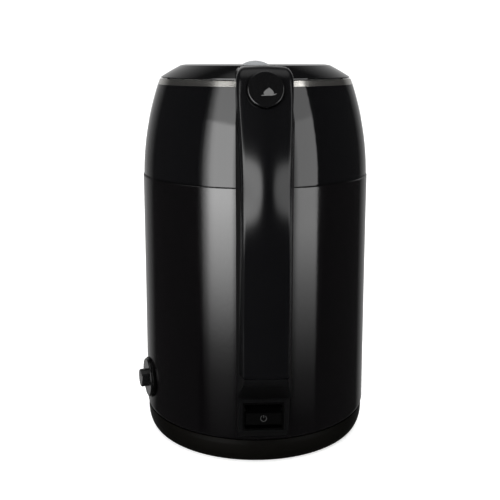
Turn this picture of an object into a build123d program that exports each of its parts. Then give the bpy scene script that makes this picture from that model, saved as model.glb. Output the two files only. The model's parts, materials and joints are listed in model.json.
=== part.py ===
"""Insulated electric jug kettle: painted steel sleeve, gloss shoulder, hinged lid and rear strap handle.

Millimetres. Z is up and z = 0 is the plane the kettle stands on. The Z axis is the jug's own axis.
+X points at the handle and -X at the spout. The temperature dial is on the -Y side.
"""

import math
import os

from build123d import *

os.makedirs("parts", exist_ok=True)

# ---- driving dimensions -----------------------------------------------------------------------
SEAM_Z = 178.0              # joint between the painted sleeve and the gloss shoulder
BASE_Z = 16.5               # joint between the base housing and the sleeve
RING_Z = 236.1              # underside of the bright rim ring
RING_TOP_Z = 239.4
LID_Z = 240.1               # lower edge of the lid
LID_TOP_Z = 248.5
SEAM_R = 74.6               # shoulder radius at the seam
RING_R = 64.05              # shoulder and ring radius at the top
SLEEVE_TOP_R = 75.05
SLEEVE_FOOT_R = 76.2
BASE_R = 75.4
FOOT_R = 69.0
FOOT_INNER_R = 66.0
LID_R = 61.9
NECK_R = 57.6               # inside of the pouring neck
PLUG_R = 55.3               # part of the lid that hangs in the neck

SHELL_WALL = 2.4
SLEEVE_WALL = 1.0
VESSEL_WALL = 0.8
VESSEL_R = 62.0             # inside of the water vessel
VESSEL_FLOOR_Z = 38.0
FIT_GAP = 0.15              # planned gap between parts fixed to one another

STEAM_PORT_Z = 220.5
STEAM_BORE_R = 2.0
STEAM_TUBE_R = 3.0
WINDOW_HALF_WIDTH = 15.0    # water passage from the neck into the spout
WINDOW_LOW_Z, WINDOW_HIGH_Z = 215.0, 229.0

DECK_Z = 13.5               # underside of the base housing's deck
COVER_SCREW_RADIUS = 55.0
PROBE_Y = 28.0
PROBE_R = 2.5
SOCKET_R = 13.4             # bore that drops over the power base's plug
SOCKET_DEPTH = 15.0
SOCKET_OUTER_R = 18.0
CONTACT_RINGS = [(0.0, 2.4), (5.0, 6.6), (9.4, 11.0)]

HANDLE_FRONT_HALF_WIDTH = 12.7
HANDLE_REACH = 119.5        # furthest point of the handle from the jug's axis
HANDLE_WALL = 2.6
HANDLE_SCREW_HEIGHTS = (30.3, 62.0)
HANDLE_SCREW_R = 1.5
WEB_FACE_X = 79.4           # inner face of the webs that the handle's screws bite into
COVER_DEPTH = 9.0
COVER_END_Z = 73.5

HINGE_X, HINGE_Z = 66.0, 245.5
HINGE_PIN_R = 1.25
KNUCKLE_R = 2.9
ARM_HALF_WIDTH = 9.8
TAIL_HALF_WIDTH = 3.0
PRONG_Y = 6.0
PRONG_TIP_X = 72.2          # rest place of the release slider's two prongs
BRACKET_HALF_WIDTH = 13.4
LID_SCREW_X = 50.5
LID_SCREW_Y = 6.0
LID_SCREW_R = 1.48

BUTTON_Z = 235.6
BUTTON_R = 10.2
BUTTON_PROUD = 2.6
BUTTON_STEM_R = 3.5

LEVER_X, LEVER_Z = 88.2, 43.4
LEVER_PIN_R = 1.2
RECESS_HALF_WIDTH = 11.3
RECESS_LOW_Z, RECESS_HIGH_Z = 33.2, 49.5
BEZEL_WALL = 1.2

DIAL_Z = 39.0
DIAL_TURN = 15.5            # degrees from -Y round towards the handle
DIAL_R = 13.8
DIAL_PLATE_Y = 76.8         # outer face of the dial's surround, from the jug's axis
KNOB_FACE_Y = 78.2
KNOB_TOP_Y = 82.7
KNOB_R = 13.0
KNOB_GRIP_R = 6.1
SPINDLE_R = 3.0
SPINDLE_END_Y = 80.9
DIAL_BUSH_R = 4.0
RUNNING_GAP = 0.05

# Corner points of the handle's outer edge in the XZ plane, from the lid down to the base.
HANDLE_TOP_CORNER = (96.9, LID_TOP_Z)
HANDLE_SHOULDER = (HANDLE_REACH, 190.0)
HANDLE_SLOPE = math.atan2(
    HANDLE_SHOULDER[0] - HANDLE_TOP_CORNER[0],
    HANDLE_TOP_CORNER[1] - HANDLE_SHOULDER[1],
)
HANDLE_OUTER = [
    (50.0, LID_TOP_Z),
    HANDLE_TOP_CORNER,
    HANDLE_SHOULDER,
    (HANDLE_REACH, 152.0),
    (115.3, 105.0),
    (115.3, 70.5),
    (95.8, 53.0),
    (93.4, 32.0),
    (86.0, 24.5),
]
HANDLE_OUTER_RADII = [12.0, 60.0, 200.0, 200.0, 6.0, 4.0, 5.0]
HANDLE_FOOT_Z = HANDLE_OUTER[-1][1]
HANDLE_INNER = [
    (50.0, 67.0),
    (76.0, 70.0),
    (95.8, 82.0),
    (95.8, 105.0),
    (99.6, 150.0),
    (98.6, 203.0),
    (66.0, 214.0),
    (50.0, 214.0),
]
HANDLE_INNER_RADII = [6.0, 12.0, 150.0, 150.0, 15.0, 8.0]


# ---- helpers ----------------------------------------------------------------------------------
def in_xz(shape):
    """Moves a sketch or curve drawn as (radius, height) into the XZ plane."""
    return Plane.XZ * shape


def turned(outline):
    """Solid of revolution about Z from a closed outline of (radius, height)."""
    return revolve(in_xz(make_face(outline)), Axis.Z)


def turned_polygon(*points):
    """Solid of revolution about Z from corner points of (radius, height)."""
    return turned(Polyline(*points, close=True))


def tube(inner_r, outer_r, low_z, high_z):
    """Upright ring, or a plain cylinder when inner_r is 0."""
    section = Circle(outer_r)
    if inner_r > 0:
        section = section - Circle(inner_r)
    return Pos(0, 0, low_z) * extrude(section, high_z - low_z)


def block(low, high):
    """Box between two opposite corners."""
    size = [high[i] - low[i] for i in range(3)]
    centre = [(high[i] + low[i]) / 2 for i in range(3)]
    return Pos(*centre) * Box(*size)


def rod(start, end, radius):
    """Cylinder between two points."""
    start, end = Vector(*start), Vector(*end)
    plane = Plane(origin=start, z_dir=end - start)
    return extrude(plane * Circle(radius), (end - start).length)


def cross_rod(x, z, half_length, radius):
    """Cylinder along Y through (x, z)."""
    return rod((x, -half_length, z), (x, half_length, z), radius)


def along_dial(near_y, far_y, radius):
    """Cylinder on the dial's axis between two distances, before the dial is turned to its place."""
    return rod((0, -near_y, DIAL_Z), (0, -far_y, DIAL_Z), radius)


def on_dial_side(shape):
    """Turns a shape drawn on the -Y side round the jug to where the dial is."""
    return Rot(0, 0, DIAL_TURN) * shape


def outer_rim(disc):
    """Outermost circular edge of a piece drawn on the dial's axis."""
    return disc.edges().filter_by(GeomType.CIRCLE).sort_by(Axis.Y)[0]


def round_about(piece, count, radius, start=0.0):
    """Copies of a piece moved out to a radius and spaced evenly round Z."""
    copies = []
    for index in range(count):
        angle = start + index * 360.0 / count
        copies.append(Rot(0, 0, angle) * Pos(radius, 0, 0) * piece)
    return Compound(children=[Compound(copy.wrapped) for copy in copies])


# ---- outer surfaces ---------------------------------------------------------------------------
def shoulder_arc(inset=0.0):
    """Curve of the gloss shoulder, from the seam up to the ring."""
    return ThreePointArc(
        (SEAM_R - inset, SEAM_Z + 0.4),
        (71.0 - inset, 210.5),
        (RING_R - inset, RING_Z),
    )


def sleeve_arc(inset=0.0):
    """Curve of the painted sleeve, from the top of its foot bend up to the seam."""
    return ThreePointArc(
        (SLEEVE_FOOT_R - inset, 22.0),
        (75.5 - inset, 100.0),
        (SLEEVE_TOP_R - inset, SEAM_Z - 1.0),
    )


def jug_envelope(gap):
    """Everything the handle, dial and spout must stay clear of, grown by a gap."""
    arc = sleeve_arc(-gap)
    shoulder = shoulder_arc(-gap)
    outline = Polyline((0, -5), (SLEEVE_FOOT_R + gap, -5), arc @ 0)
    outline += arc
    outline += Line(arc @ 1, shoulder @ 0)
    outline += shoulder
    outline += Polyline(
        shoulder @ 1,
        (62.7 + gap, RING_TOP_Z + gap),
        (LID_R + 0.4, RING_TOP_Z + gap),
        (LID_R + 0.4, 270),
        (0, 270),
        (0, -5),
    )
    return turned(outline)


# ---- jug --------------------------------------------------------------------------------------
def spout_window(grow):
    """Passage for the water through the neck and the shoulder."""
    return block(
        (-80, -WINDOW_HALF_WIDTH - grow, WINDOW_LOW_Z - grow),
        (-50, WINDOW_HALF_WIDTH + grow, WINDOW_HIGH_Z + grow),
    )


def make_upper_shell():
    outer = shoulder_arc()
    inner = shoulder_arc(SHELL_WALL)
    flange_r = NECK_R + VESSEL_WALL + 1.7
    under_z = RING_Z - SHELL_WALL
    inner_end = 0.96
    outline = outer + Polyline(
        outer @ 1,
        (flange_r, RING_Z),
        (flange_r, under_z),
        (RING_R - SHELL_WALL - 0.8, under_z),
        inner @ inner_end,
    )
    outline += inner.trim(0, inner_end)
    outline += Line(inner @ 0, outer @ 0)
    shell = turned(outline)
    spigot_r = SLEEVE_TOP_R - SLEEVE_WALL - 0.3
    spigot = tube(spigot_r - 1.6, spigot_r, SEAM_Z - 8.0, SEAM_Z + 3.0)
    steam_port = rod((60, 0, STEAM_PORT_Z), (80, 0, STEAM_PORT_Z), STEAM_TUBE_R + 0.4)
    return shell + spigot - spout_window(FIT_GAP) - steam_port


def make_lower_sleeve():
    outer = sleeve_arc()
    inner = sleeve_arc(SLEEVE_WALL)
    top_z = SEAM_Z - 0.4
    bend_r = SLEEVE_FOOT_R - 0.5
    outline = Line((SLEEVE_TOP_R - 0.6, top_z), (SLEEVE_TOP_R - SLEEVE_WALL, top_z))
    outline += Line((SLEEVE_TOP_R - SLEEVE_WALL, top_z), inner @ 1)
    outline += inner
    outline += Polyline(inner @ 0, (bend_r - 1.4, BASE_Z + 1.0), (70.0, BASE_Z + 1.0), (70.0, BASE_Z))
    outline += Line((70.0, BASE_Z), (bend_r - 0.9, BASE_Z))
    outline += ThreePointArc((bend_r - 0.9, BASE_Z), (SLEEVE_FOOT_R - 0.35, 18.6), outer @ 0)
    outline += outer
    outline += ThreePointArc(outer @ 1, (SLEEVE_TOP_R - 0.16, top_z - 0.16), (SLEEVE_TOP_R - 0.6, top_z))
    sleeve = turned(outline) - on_dial_side(along_dial(60, 90, DIAL_BUSH_R + 0.2))
    for z in HANDLE_SCREW_HEIGHTS:
        sleeve = sleeve - rod((60, 0, z), (90, 0, z), HANDLE_SCREW_R + 0.1)
    return sleeve


def make_rim_ring():
    return turned_polygon(
        (RING_R, RING_Z),
        (62.7, RING_TOP_Z),
        (NECK_R + 0.6, RING_TOP_Z),
        (NECK_R, RING_TOP_Z - 0.6),
        (NECK_R, RING_Z),
    )


def vessel_outline(radius, neck, floor_z, top_z):
    """Half section of the vessel's inside or outside, from the axis to the brim."""
    corner = 8.0
    waist_low, waist_high = 192.0, 213.0
    middle = ((radius + neck) / 2, (waist_low + waist_high) / 2)
    return [
        Line((0, floor_z), (radius - corner, floor_z)),
        RadiusArc((radius - corner, floor_z), (radius, floor_z + corner), -corner),
        Line((radius, floor_z + corner), (radius, waist_low)),
        TangentArc((radius, waist_low), middle, tangent=(0, 1)),
        TangentArc((neck, waist_high), middle, tangent=(0, -1)),
        Line((neck, waist_high), (neck, top_z)),
        Line((neck, top_z), (0, top_z)),
        Line((0, top_z), (0, floor_z)),
    ]


def make_inner_vessel():
    outside = turned(
        Curve() + vessel_outline(
            VESSEL_R + VESSEL_WALL, NECK_R + VESSEL_WALL, VESSEL_FLOOR_Z, RING_Z - 0.1
        )
    )
    inside = turned(
        Curve() + vessel_outline(VESSEL_R, NECK_R, VESSEL_FLOOR_Z + VESSEL_WALL, RING_Z + 1)
    )
    probe_hole = rod((0, PROBE_Y, 30), (0, PROBE_Y, 50), PROBE_R + 0.02)
    return outside - inside - spout_window(FIT_GAP) - probe_hole


def make_neck_seal():
    inner_r = NECK_R + VESSEL_WALL + 0.1
    return tube(inner_r, inner_r + 1.5, RING_Z - 4.0, RING_Z - 0.1)


def beak_loft(inset, top_z):
    """Tapered body of the spout between the shoulder and the lip."""
    def section(x, half_top, half_low, low_z):
        corners = [
            (x, -half_top, top_z),
            (x, half_top, top_z),
            (x, half_low, low_z),
            (x, -half_low, low_z),
        ]
        return make_face(Polyline(*[Vector(*c) for c in corners], close=True))

    root = section(-58.0, 22.0 - inset, 13.0 - inset, 194.0 + inset)
    lip = section(-84.0 - inset * 0.4, 8.0 - inset * 0.7, 4.0 - inset * 0.7, 229.0 + inset)
    return loft([root, lip], ruled=True)


def make_spout_beak():
    top_z = RING_Z - 0.3
    beak = beak_loft(0.0, top_z) - beak_loft(1.8, top_z + 4.0) - jug_envelope(0.02)
    duct = spout_window(0.0) - spout_window(-1.4)
    duct = duct & tube(NECK_R + 0.1, RING_R + 2.0, 210, 235)
    keeper = spout_window(2.4) - spout_window(0.0)
    keeper = keeper & tube(NECK_R + VESSEL_WALL + 0.2, NECK_R + VESSEL_WALL + 1.8, 200, 232)
    return largest(beak), duct + keeper


def make_spout_filter():
    plate = block((-54.9, -17.0, 213.0), (-53.9, 17.0, 229.6))
    for index in range(9):
        y = (index - 4) * 3.4
        plate = plate - block((-56, y - 0.8, 215.5), (-53, y + 0.8, 227.0))
    return plate


# ---- base -------------------------------------------------------------------------------------
def make_base_housing():
    corner_top = (BASE_R + 0.2, 13.5)
    foot = (FOOT_R, 0.0)
    outline = Line((BASE_R, BASE_Z - 0.2), corner_top)
    outline += EllipticalCenterArc(
        (FOOT_R, corner_top[1]),
        corner_top[0] - FOOT_R,
        corner_top[1],
        start_angle=0,
        arc_size=-90,
    )
    outline += Polyline(
        foot,
        (FOOT_INNER_R, 0.0),
        (FOOT_INNER_R, 6.0),
        (71.2, 10.0),
        (71.2, DECK_Z),
        (24.0, DECK_Z),
        (24.0, BASE_Z - 0.2),
        (BASE_R, BASE_Z - 0.2),
    )
    housing = turned(outline)
    boss = tube(1.5, 4.0, 5.6, DECK_Z + 0.5)
    for index in range(3):
        angle = 30 + index * 120
        place = Rot(0, 0, angle) * Pos(COVER_SCREW_RADIUS, 0, 0)
        housing = housing + place * boss
        housing = housing - place * tube(0, 1.5, 5.0, 12.0)
    return housing


def make_bottom_cover():
    cover = tube(SOCKET_OUTER_R + 0.3, FOOT_INNER_R - 0.3, 3.0, 5.5)
    rib = tube(34.0, 36.0, 5.5, 8.0)
    cover = cover + rib
    for index in range(3):
        place = Rot(0, 0, 30 + index * 120) * Pos(COVER_SCREW_RADIUS, 0, 0)
        cover = cover - place * tube(0, 1.7, 2.0, 6.0)
    return cover


def make_bottom_screws():
    screw = tube(0, 3.0, 1.4, 2.95) + tube(0, 1.45, 2.9, 11.5)
    screw = screw - block((-2.2, -0.4, 1.0), (2.2, 0.4, 2.0))
    screw = screw - block((-0.4, -2.2, 1.0), (0.4, 2.2, 2.0))
    return round_about(screw, 3, COVER_SCREW_RADIUS, 30)


def make_connector_socket():
    socket = tube(SOCKET_R, SOCKET_OUTER_R, 0.0, SOCKET_DEPTH)
    roof = tube(0, SOCKET_OUTER_R, SOCKET_DEPTH, SOCKET_DEPTH + 3.0)
    for low_r, high_r in CONTACT_RINGS:
        roof = roof - tube(low_r, high_r, SOCKET_DEPTH - 1, SOCKET_DEPTH + 2.0)
    flange = tube(SOCKET_OUTER_R - 1, 23.0, DECK_Z - 3.0, DECK_Z - 0.1)
    return socket + roof + flange


def make_contact_rings():
    rings = [
        tube(low_r, high_r, SOCKET_DEPTH + 0.1, SOCKET_DEPTH + 2.0)
        for low_r, high_r in CONTACT_RINGS
    ]
    return Compound(children=[Compound(ring.wrapped) for ring in rings])


def make_thermostat_control():
    control = tube(0, 20.5, SOCKET_DEPTH + 3.1, 29.0)
    wings = block((-27, -8, 20.0), (27, 8, 27.0))
    return control + wings


def make_vessel_support():
    skirt = tube(56.0, 60.0, BASE_Z - 0.1, VESSEL_FLOOR_Z - 0.1)
    for index in range(6):
        window = block((50, -9, 22.0), (64, 9, 32.0))
        skirt = skirt - Rot(0, 0, 30 + index * 60) * window
    return skirt


def make_heater_plate():
    plate = tube(0, 50.0, VESSEL_FLOOR_Z - 4.0, VESSEL_FLOOR_Z - 0.1)
    return plate - rod((0, PROBE_Y, 30), (0, PROBE_Y, 50), PROBE_R + 0.02)


def make_heating_element():
    path = CenterArc((0, 0, 30.5), 38.0, 210, 300)
    section = Plane(origin=path @ 0, z_dir=path % 0) * Circle(3.3)
    element = sweep(section, path)
    for angle in (210, 150):
        terminal = tube(0, 1.5, 19.0, 28.0)
        element = element + Rot(0, 0, angle) * Pos(38.0, 0, 0) * terminal
    return element


def make_sensor_probe():
    tip = tube(0, PROBE_R, 29.0, 43.0)
    collar = tube(0, 4.5, 31.0, VESSEL_FLOOR_Z - 4.1)
    return Pos(0, PROBE_Y, 0) * (tip + collar)


def make_control_board():
    board_top_z = 21.6
    board = block((-52, -14, board_top_z - 1.6), (-29, 14, board_top_z))
    relay = block((-48, -9, board_top_z), (-36, 9, board_top_z + 5.4))
    return board + relay


# ---- handle -----------------------------------------------------------------------------------
def handle_side(inset):
    """Side view of the whole handle, closed inside the jug, shrunk by an inset."""
    outer = FilletPolyline(*HANDLE_OUTER, radius=HANDLE_OUTER_RADII)
    inner = FilletPolyline(*HANDLE_INNER, radius=HANDLE_INNER_RADII)
    outline = outer + Polyline(HANDLE_OUTER[-1], (50, HANDLE_FOOT_Z), HANDLE_INNER[0]) + inner
    outline += Line(HANDLE_INNER[-1], HANDLE_OUTER[0])
    face = make_face(outline)
    if inset > 0:
        face = offset(face, -inset)
    return in_xz(face)


def handle_plan(inset):
    """View of the handle from above: widest behind the grip, narrowing to its outer face."""
    side = [(40, 15.4), (62, 15.2), (92, 15.0), (99, 16.4)]
    side += [(116, HANDLE_FRONT_HALF_WIDTH), (HANDLE_REACH + 2, HANDLE_FRONT_HALF_WIDTH)]
    near = [(x, y - inset) for x, y in side]
    far = [(x, inset - y) for x, y in reversed(side)]
    return make_face(Polyline(*near, *far, close=True))


def handle_solid(inset):
    side = extrude(handle_side(inset), 30, both=True)
    plan = extrude(handle_plan(inset), 280)
    return side & plan


def cover_zone(depth, gap):
    """Outer strip of the handle that its cover takes up."""
    outer = FilletPolyline(*HANDLE_OUTER[:6], radius=HANDLE_OUTER_RADII[:4])
    end_x = HANDLE_OUTER[5][0]
    outline = outer + Polyline(HANDLE_OUTER[5], (end_x, 20), (30, 20), (30, LID_TOP_Z), HANDLE_OUTER[0])
    face = make_face(outline)
    outside = offset(face, 3.0)
    strip = extrude(in_xz(outside - offset(face, -depth - gap)), 30, both=True)
    return strip & block((50, -30, COVER_END_Z - gap), (140, 30, 260))


def button_frame(height):
    """Place on the button's axis, at a height above the cover's sloping face."""
    face_x = HANDLE_TOP_CORNER[0] + (LID_TOP_Z - BUTTON_Z) * math.tan(HANDLE_SLOPE)
    tilt = math.degrees(HANDLE_SLOPE)
    return Pos(face_x, 0, BUTTON_Z) * Rot(0, 90 - tilt, 0) * Pos(0, 0, height)


def hinge_slot():
    """Room for the lid's hinge arm, its tail and the hinge bracket in the top of the handle."""
    bracket_y = BRACKET_HALF_WIDTH + 0.2
    arm_y = ARM_HALF_WIDTH + 0.4
    tail_y = TAIL_HALF_WIDTH + 0.6
    bracket_room = block((50, -bracket_y, RING_TOP_Z), (71.6, bracket_y, LID_TOP_Z - 0.6))
    arm_room = block((50, -arm_y, RING_TOP_Z), (HINGE_X + KNUCKLE_R + 0.4, arm_y, LID_TOP_Z + 1))
    tail_room = block((60, -tail_y, RING_TOP_Z), (HINGE_X + 7.2, tail_y, LID_TOP_Z - 1.0))
    return bracket_room + arm_room + tail_room


def make_handle_cover(full, core, envelope):
    cover = (full - core) & cover_zone(COVER_DEPTH, 0.0)
    bore = button_frame(-8) * extrude(Circle(BUTTON_R + 0.4), 20)
    flange_room = button_frame(-14) * extrude(Circle(BUTTON_R + 1.3), 14 - HANDLE_WALL)
    cover = cover - envelope - bore - flange_room - hinge_slot()
    return largest(cover)


def make_handle_grip(full, core, envelope):
    grip = full - core - cover_zone(COVER_DEPTH, FIT_GAP)
    for z in HANDLE_SCREW_HEIGHTS:
        web = block((70.0, -14.5, z - 3.0), (WEB_FACE_X, 14.5, z + 3.0))
        grip = grip + web - rod((60, 0, z), (WEB_FACE_X + 1, 0, z), HANDLE_SCREW_R + 0.02)
    edge = BEZEL_WALL + FIT_GAP
    bezel_hole = block(
        (80, -RECESS_HALF_WIDTH - edge, RECESS_LOW_Z - edge),
        (110, RECESS_HALF_WIDTH + edge, RECESS_HIGH_Z + edge),
    )
    return largest(grip - envelope - bezel_hole - hinge_slot())


def largest(shape):
    """Biggest solid of a result that may hold loose offcuts."""
    return sorted(shape.solids(), key=lambda solid: solid.volume)[-1]


def make_button_guide():
    plate = Box(17.0, 24.3, 2.0, align=(Align.CENTER, Align.CENTER, Align.MIN))
    sleeve = extrude(Circle(6.5), 6.0)
    guide = button_frame(-14.5) * plate + button_frame(-18.0) * sleeve
    return guide - button_frame(-20) * extrude(Circle(BUTTON_STEM_R + RUNNING_GAP), 12)


def make_lid_button():
    disc = extrude(Circle(BUTTON_R), BUTTON_PROUD + HANDLE_WALL + 0.3)
    top_edge = disc.edges().filter_by(GeomType.CIRCLE).sort_by(Axis.Z)[-1]
    disc = fillet(top_edge, 0.9)
    flange = Pos(0, 0, -1.2) * extrude(Circle(BUTTON_R + 0.8), 1.2)
    stem = Pos(0, 0, -17.1) * extrude(Circle(BUTTON_STEM_R), 16.0)
    return button_frame(-HANDLE_WALL - 0.3) * (disc + flange + stem)


def coil(radius, wire_r, pitch, height):
    """Round-wire helical spring standing on the XY plane about Z."""
    path = Helix(pitch, height, radius)
    section = Plane(origin=path @ 0, z_dir=path % 0) * Circle(wire_r)
    return sweep(section, path)


def make_button_spring():
    return button_frame(-11.4) * coil(5.2, 0.45, 1.6, 6.7)


def make_release_slider():
    back_x = 79.3
    top_z = 245.2
    slider = block((back_x, -9.0, 226.0), (back_x + 2.0, 9.0, top_z))
    for y in (-PRONG_Y, PRONG_Y):
        slider = slider + block((PRONG_TIP_X, y - 1.2, top_z - 2.2), (back_x, y + 1.2, top_z))
    return slider


def make_steam_tube():
    path = FilletPolyline(
        (68.6, STEAM_PORT_Z),
        (80, STEAM_PORT_Z),
        (103.5, 212),
        (109.6, 180),
        (106.0, 105),
        (106.0, 78),
        (84, 60),
        radius=[12, 12, 60, 60, 12],
    )
    path = in_xz(path)
    start = Plane(origin=path @ 0, z_dir=path % 0)
    return sweep(start * Circle(STEAM_TUBE_R), path) - sweep(start * Circle(STEAM_BORE_R), path)


def make_handle_screws():
    """Screws driven outwards from inside the sleeve into the handle's webs."""
    head_x = SLEEVE_FOOT_R - 2.6
    screws = []
    for z in HANDLE_SCREW_HEIGHTS:
        head = rod((head_x - 1.8, 0, z), (head_x, 0, z), 2 * HANDLE_SCREW_R)
        shank = rod((head_x, 0, z), (WEB_FACE_X - 0.2, 0, z), HANDLE_SCREW_R)
        screws.append(head + shank)
    return Compound(children=[Compound(screw.wrapped) for screw in screws])


# ---- power switch -----------------------------------------------------------------------------
def make_switch_bezel(full):
    back_x = 84.0
    outer = block(
        (back_x, -RECESS_HALF_WIDTH - BEZEL_WALL, RECESS_LOW_Z - BEZEL_WALL),
        (110, RECESS_HALF_WIDTH + BEZEL_WALL, RECESS_HIGH_Z + BEZEL_WALL),
    )
    inner = block(
        (back_x + 1.4, -RECESS_HALF_WIDTH, RECESS_LOW_Z),
        (112, RECESS_HALF_WIDTH, RECESS_HIGH_Z),
    )
    tail_gap = block((back_x - 1, -3.5, LEVER_Z - 2.5), (back_x + 2, 3.5, LEVER_Z + 5.0))
    pin_hole = cross_rod(LEVER_X, LEVER_Z, 20, LEVER_PIN_R + 0.02)
    return largest((outer & full) - inner - tail_gap - pin_hole)


def make_switch_lever():
    half = RECESS_HALF_WIDTH - 0.5
    hub = cross_rod(LEVER_X, LEVER_Z, half, 2.4)
    corners = [(0.0, 2.3), (7.4, 0.6), (9.0, -6.2), (6.6, -6.9), (-0.8, -2.2)]
    side = Pos(LEVER_X, LEVER_Z) * make_face(Polyline(*corners, close=True))
    paddle = extrude(in_xz(side), half, both=True)
    lip_edges = paddle.edges().filter_by(Axis.Y).sort_by(Axis.X)[-2:]
    paddle = fillet(lip_edges, 0.9)
    tail = block((80.0, -2.5, LEVER_Z - 0.9), (88.0, 2.5, LEVER_Z + 0.9))
    return paddle + hub + tail - cross_rod(LEVER_X, LEVER_Z, 20, LEVER_PIN_R + RUNNING_GAP)


def make_lever_pin():
    return cross_rod(LEVER_X, LEVER_Z, RECESS_HALF_WIDTH + BEZEL_WALL, LEVER_PIN_R)


def make_switch_block():
    top_z = LEVER_Z - 2.8
    case = block((77.6, -8.0, top_z - 7.0), (83.7, 8.0, top_z))
    plunger = block((79.6, -1.2, top_z), (82.0, 1.2, top_z + 1.4))
    return case + plunger


# ---- hinge and lid ----------------------------------------------------------------------------
def make_hinge_bracket():
    floor_z = 241.2
    front_x = 62.6
    back_x = 69.9
    outer_y = BRACKET_HALF_WIDTH
    bracket = block((front_x, -outer_y, floor_z - 1.4), (back_x + 1.5, outer_y, floor_z))
    bracket = bracket + block((back_x, -outer_y, floor_z), (back_x + 1.5, outer_y, 245.6))
    for low_y in (-outer_y, outer_y - 3.0):
        bracket = bracket + block((front_x, low_y, floor_z), (back_x + 1.5, low_y + 3.0, 247.7))
    tail_y = TAIL_HALF_WIDTH + 0.6
    bracket = bracket - block((front_x + 2.0, -tail_y, 238), (back_x + 2.1, tail_y, 250))
    for y in (-PRONG_Y, PRONG_Y):
        bracket = bracket - block((68, y - 1.6, 242.6), (75, y + 1.6, 246))
    bracket = bracket - cross_rod(HINGE_X, HINGE_Z, 20, HINGE_PIN_R + 0.02)
    return bracket - tube(0, LID_R + 0.4, 230, 260)


def make_hinge_pin():
    return cross_rod(HINGE_X, HINGE_Z, BRACKET_HALF_WIDTH, HINGE_PIN_R)


def spring_pocket():
    """Gap in the hinge arm's knuckle that the coil spring sits in."""
    return block((HINGE_X - 4.3, 3.9, 238), (HINGE_X + 5.3, 8.1, 252))


def make_hinge_spring():
    return Pos(HINGE_X, 4.5, HINGE_Z) * Rot(-90, 0, 0) * coil(2.1, 0.35, 0.85, 3.0)


def make_lid_hinge_arm():
    outline = Polyline(
        (46.0, 242.2),
        (63.0, 242.2),
        (HINGE_X, HINGE_Z - KNUCKLE_R),
        (HINGE_X, HINGE_Z + KNUCKLE_R),
        (46.0, HINGE_Z + KNUCKLE_R),
        close=True,
    )
    arm = extrude(in_xz(make_face(outline)), ARM_HALF_WIDTH, both=True)
    arm = arm + cross_rod(HINGE_X, HINGE_Z, ARM_HALF_WIDTH, KNUCKLE_R)
    tail = block(
        (HINGE_X, -TAIL_HALF_WIDTH, HINGE_Z - 1.2),
        (HINGE_X + 6.4, TAIL_HALF_WIDTH, HINGE_Z + 1.2),
    )
    arm = arm + tail - spring_pocket()
    arm = arm - cross_rod(HINGE_X, HINGE_Z, 20, HINGE_PIN_R + RUNNING_GAP)
    for y in (-LID_SCREW_Y, LID_SCREW_Y):
        arm = arm - rod((LID_SCREW_X, y, 240), (LID_SCREW_X, y, 246.2), LID_SCREW_R + 0.02)
    return arm


def make_lid_cover():
    outer = ThreePointArc((LID_R, LID_Z + 0.6), (56.6, 243.9), (49.0, LID_TOP_Z - 0.5))
    inner = ThreePointArc((LID_R - 2.3, LID_Z), (54.9, 242.1), (48.0, LID_TOP_Z - 2.8))
    outline = Line((LID_R, LID_Z), outer @ 0)
    outline += outer
    outline += Polyline(outer @ 1, (46.0, LID_TOP_Z), (0, LID_TOP_Z), (0, LID_TOP_Z - 2.3))
    outline += Polyline((0, LID_TOP_Z - 2.3), (45.0, LID_TOP_Z - 2.3), inner @ 1)
    outline += inner
    outline += Line(inner @ 0, (LID_R, LID_Z))
    cover = turned(outline)
    notch = block(
        (46.0 - FIT_GAP, -ARM_HALF_WIDTH - FIT_GAP, LID_Z - 1),
        (70, ARM_HALF_WIDTH + FIT_GAP, LID_TOP_Z + 1),
    )
    return cover - notch - tube(0, 4.0, LID_TOP_Z - 4, LID_TOP_Z + 1)


def make_lid_cap():
    cap_r = 8.75
    rise = 2.4
    ball_r = (cap_r**2 + rise**2) / (2 * rise)
    ball = Pos(0, 0, LID_TOP_Z + rise - ball_r) * Sphere(ball_r)
    dome = ball & tube(0, cap_r + 1, LID_TOP_Z, LID_TOP_Z + rise + 1)
    return dome + tube(0, 3.9, LID_TOP_Z - 3.4, LID_TOP_Z + 0.5)


def make_lid_base():
    floor_z = 230.9
    flange_z = LID_Z + 0.1
    inner_r = PLUG_R - 2.0
    base = turned_polygon(
        (0, floor_z),
        (PLUG_R, floor_z),
        (PLUG_R, flange_z),
        (56.6, flange_z),
        (56.6, flange_z + 0.8),
        (inner_r, flange_z + 0.8),
        (inner_r, floor_z + 1.8),
        (0, floor_z + 1.8),
    )
    boss_x = LID_SCREW_X - 1.0
    for y in (-LID_SCREW_Y, LID_SCREW_Y):
        base = base + rod((boss_x, y, floor_z + 1.0), (boss_x, y, 242.1), 3.4)
        base = base - rod((LID_SCREW_X, y, 234.4), (LID_SCREW_X, y, 243), LID_SCREW_R + 0.02)
        base = base - rod((LID_SCREW_X, y, 229), (LID_SCREW_X, y, 234.5), 2.3)
    return base


def make_lid_screws():
    screws = []
    for y in (-LID_SCREW_Y, LID_SCREW_Y):
        shank = rod((LID_SCREW_X, y, 233), (LID_SCREW_X, y, 246.0), LID_SCREW_R)
        head = rod((LID_SCREW_X, y, 231.6), (LID_SCREW_X, y, 234.3), 2.2)
        screws.append(shank + head)
    return Compound(children=[Compound(screw.wrapped) for screw in screws])


def make_lid_disc():
    disc = tube(0, PLUG_R - 0.8, 230.0, 230.85)
    return disc - tube(30.0, 31.2, 229, 230.3)


def make_lid_seal():
    body = tube(PLUG_R + 0.02, 56.3, 235.6, LID_Z + 0.05)
    lip = turned_polygon((56.2, 236.2), (57.0, 236.9), (57.0, 237.7), (56.2, 238.4))
    return body + lip


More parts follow.
